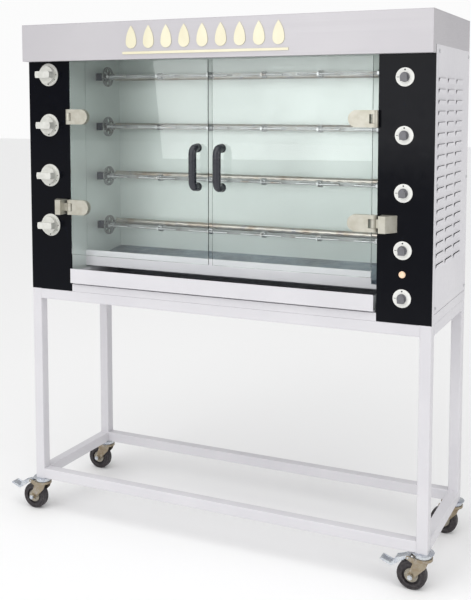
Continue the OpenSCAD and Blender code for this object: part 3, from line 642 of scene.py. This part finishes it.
# ---- Switches and lamp ----------------------------------------------------------------
# White round plates clipped into the panel, each with a small dark turning knob, and an
# orange lens between the last two.
white_moulding = new_finish("white_moulding", (0.80, 0.80, 0.77), 0.35)
relief_from(white_moulding, grain(white_moulding, 700), 0.00005)
mottle(white_moulding, (0.78, 0.78, 0.74), 70, 0.4, 0.7)
plates = softened("switch_housings", "switch_plates", 0.6 * MM)
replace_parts(fit(plates, white_moulding), "switch_housings")
knob_grey = new_finish("knob_grey", (0.14, 0.14, 0.15), 0.4)
relief_from(knob_grey, grain(knob_grey, 900), 0.00006)
mottle(knob_grey, (0.16, 0.16, 0.18), 120, 0.45, 0.7)
for n in range(1, 6):
    knob = softened(f"switch_knob_{n}", f"switch_grip_{n}", 0.8 * MM)
    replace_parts(fit(knob, knob_grey, f"switch_knob_{n}"), f"switch_knob_{n}")
switch_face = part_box("switch_housings")[0].y
switch_marks = []
for n in range(1, 6):
    switch = Vector(joints[f"switch_{n}_turn"]["pos_m"])
    spot = Vector((switch.x, switch_face, switch.z))
    switch_marks.append(printed_dot(spot + Vector((0, 0, 21 * MM)), 2.3 * MM))
    line = block("line", spot + Vector((-24, -0.3, -0.7)) * MM, spot + Vector((-17, 0.3, 0.7)) * MM)
    round_edges(line, 0.2 * MM)
    switch_marks.append(line)
fit(join("switch_marks", switch_marks), print_black)
lamp_lens = new_finish("lamp_lens", (0.95, 0.70, 0.50), 0.18, Coat_Weight=0.5)
relief_from(lamp_lens, grain(lamp_lens, 350), 0.0002)
mottle(lamp_lens, (0.90, 0.56, 0.34), 160, 0.45, 0.75)
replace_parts(fit(softened("indicator_lamp", "lamp", 0.8 * MM), lamp_lens),
            "indicator_lamp")

# ---- Drip tray ------------------------------------------------------------------------
# A folded tray that slides on two runners under the cavity; its front is a plain strip.
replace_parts(fit(softened("drip_tray", "tray", 0.4 * MM), powder_coat, "drip_tray"),
            "drip_tray")

# ---- Studio ---------------------------------------------------------------------------
# A pale floor, an even white surround and large soft lamps, and the camera at eye height to
# the right of the oven.
pale_floor = new_finish("pale_floor", (0.92, 0.92, 0.92), 0.6)
bpy.ops.object.select_all(action="DESELECT")
bpy.ops.mesh.primitive_plane_add(size=60, location=(0, 0, cad_box[0].z))
floor = bpy.context.object
floor.name = "floor"
floor.data.materials.append(pale_floor)

SURROUND_LIGHT = 0.55
SURROUND_SEEN = 0.97
surround = bpy.data.worlds.new("surround")
bpy.context.scene.world = surround
surround.use_nodes = True
nodes, links = surround.node_tree.nodes, surround.node_tree.links
seen = nodes.new("ShaderNodeLightPath")
brightness = nodes.new("ShaderNodeMapRange")
brightness.inputs["To Min"].default_value = SURROUND_LIGHT
brightness.inputs["To Max"].default_value = SURROUND_SEEN
links.new(seen.outputs["Is Camera Ray"], brightness.inputs["Value"])
nodes["Background"].inputs["Color"].default_value = (1, 1, 1, 1)
links.new(brightness.outputs["Result"], nodes["Background"].inputs["Strength"])


def soft_lamp(name, place, aim, size, power):
    """A large square lamp that faces a point."""
    light = bpy.data.lights.new(name, "AREA")
    light.size = size
    light.energy = power
    lamp = bpy.data.objects.new(name, light)
    lamp.location = place
    lamp.rotation_mode = "QUATERNION"
    lamp.rotation_quaternion = (Vector(aim) - Vector(place)).to_track_quat("-Z", "Y")
    bpy.context.collection.objects.link(lamp)


middle = (cad_box[0] + cad_box[1]) / 2
sky_panel = bpy.data.lights.new("sky_panel", "SUN")
sky_panel.energy = 1.45
sky_panel.angle = math.radians(75)
sky_lamp = bpy.data.objects.new("sky_lamp", sky_panel)
sky_lamp.rotation_euler = (math.radians(28), math.radians(-6), 0)
bpy.context.collection.objects.link(sky_lamp)
soft_lamp("front_lamp", (-1.0, -4.0, 2.2), middle, size=2.5, power=40)
soft_lamp("right_lamp", (4.0, -1.0, 2.2), middle, size=2.5, power=34)
bpy.context.scene.view_settings.view_transform = "Standard"

LOOKING_DOWN = 4.85
TURNED_LEFT = 25.17
camera = bpy.data.objects.new("camera", bpy.data.cameras.new("camera"))
bpy.context.collection.objects.link(camera)
camera.data.lens = 57.39
camera.data.sensor_width = 36
camera.data.shift_y = -0.19
camera.location = (1.385, -2.880, 1.431)
camera.rotation_euler = (math.radians(90 - LOOKING_DOWN), 0, math.radians(TURNED_LEFT))
bpy.context.scene.camera = camera
